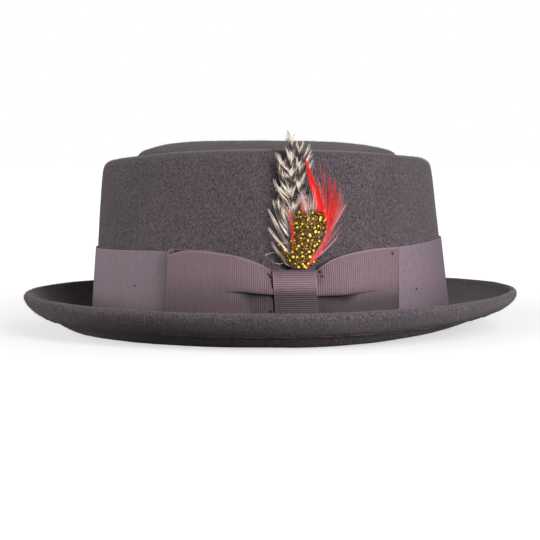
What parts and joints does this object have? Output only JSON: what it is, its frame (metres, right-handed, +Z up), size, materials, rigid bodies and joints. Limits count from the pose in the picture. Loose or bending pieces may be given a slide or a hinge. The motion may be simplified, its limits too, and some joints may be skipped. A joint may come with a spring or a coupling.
{
  "type": "porkpie hat",
  "caption": "Felt porkpie hat with a telescope crown, a turned-up welted brim, a grosgrain band with a flat side bow and a spray of feathers.",
  "frame": {"origin": "on the surface the brim rests on, below the middle of the brim's outline", "axes": "+X toward the back of the hat, -X the front, -Y the side with the bow and feathers (the wearer's left), +Z up"},
  "size_m": [0.292, 0.2536, 0.1151],
  "materials": {
    "felt": "dense brushed felt, matt",
    "band_ribbon": "ribbed grosgrain, slight sheen",
    "bow_ribbon": "ribbed grosgrain, slight sheen",
    "barred_feather": "soft feather, barred cream and black-brown",
    "red_feather": "soft feather, bright red",
    "spotted_feather": "soft feather, yellow spots on dark gold"
  },
  "bodies": {
    "root": {"felt_body": "felt", "ribbon_band": "band_ribbon", "bow_loop_front": "bow_ribbon", "bow_loop_back": "bow_ribbon", "bow_knot": "bow_ribbon", "feather_grizzly": "barred_feather", "feather_red": "red_feather", "feather_spotted": "spotted_feather"}
  },
  "joints": []
}
